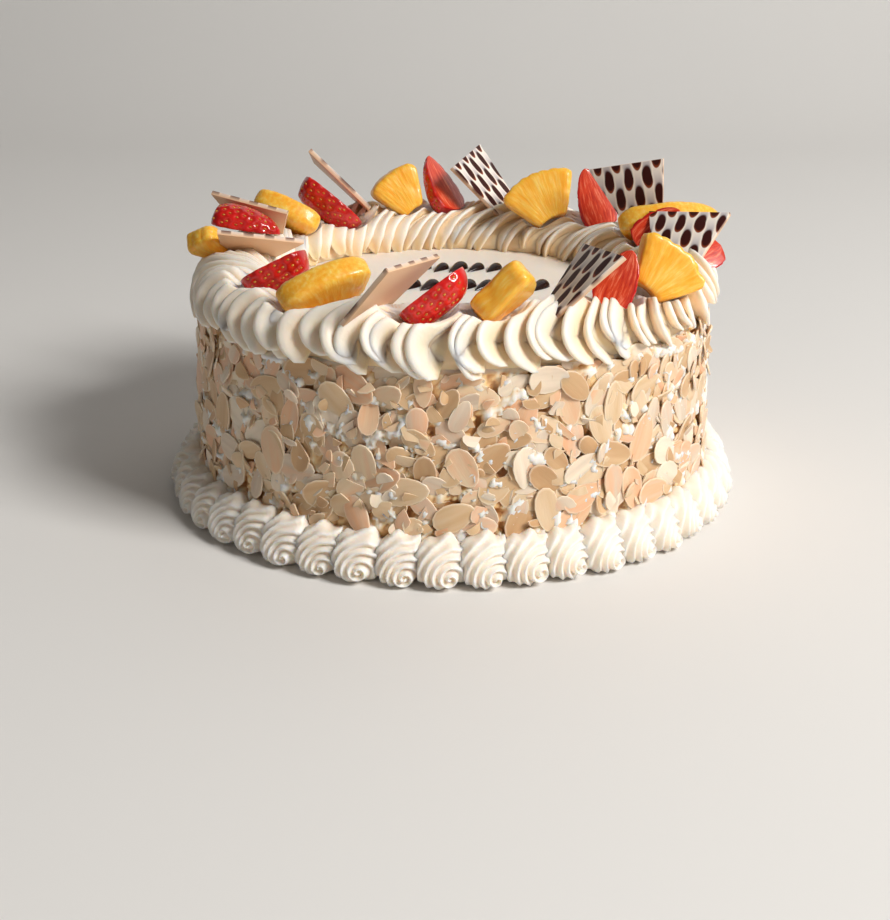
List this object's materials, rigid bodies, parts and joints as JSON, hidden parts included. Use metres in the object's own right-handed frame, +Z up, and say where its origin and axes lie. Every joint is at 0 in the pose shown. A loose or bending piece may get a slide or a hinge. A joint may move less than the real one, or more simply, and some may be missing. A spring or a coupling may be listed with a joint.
{
  "type": "fruit cream cake",
  "caption": "Round cream cake, its side coated in flaked almonds, with piped cream borders and a ring of strawberry, pineapple and patterned chocolate pieces on top.",
  "frame": {"origin": "middle of the cake's flat base", "axes": "+Z up, -Y towards the side shown at the front"},
  "size_m": [0.237, 0.2369, 0.1264],
  "materials": {
    "almond_coat": "matte flaked almonds on cream",
    "cream": "soft satin cream",
    "strawberry": "wet gloss",
    "pineapple": "wet gloss",
    "chocolate": "satin ivory chocolate with dark pattern"
  },
  "bodies": {
    "root": {"cake_body": "almond_coat", "top_border": "cream", "bottom_border": "cream", "strawberry_1": "strawberry", "strawberry_2": "strawberry", "strawberry_3": "strawberry", "strawberry_4": "strawberry", "strawberry_5": "strawberry", "strawberry_6": "strawberry", "strawberry_7": "strawberry", "strawberry_8": "strawberry", "strawberry_9": "strawberry", "pineapple_1": "pineapple", "pineapple_2": "pineapple", "pineapple_3": "pineapple", "pineapple_4": "pineapple", "pineapple_5": "pineapple", "pineapple_6": "pineapple", "pineapple_7": "pineapple", "pineapple_8": "pineapple", "chocolate_shard_1": "chocolate", "chocolate_shard_2": "chocolate", "chocolate_shard_3": "chocolate", "chocolate_shard_4": "chocolate", "chocolate_shard_5": "chocolate", "chocolate_shard_6": "chocolate", "chocolate_shard_7": "chocolate", "chocolate_shard_8": "chocolate"}
  },
  "joints": []
}
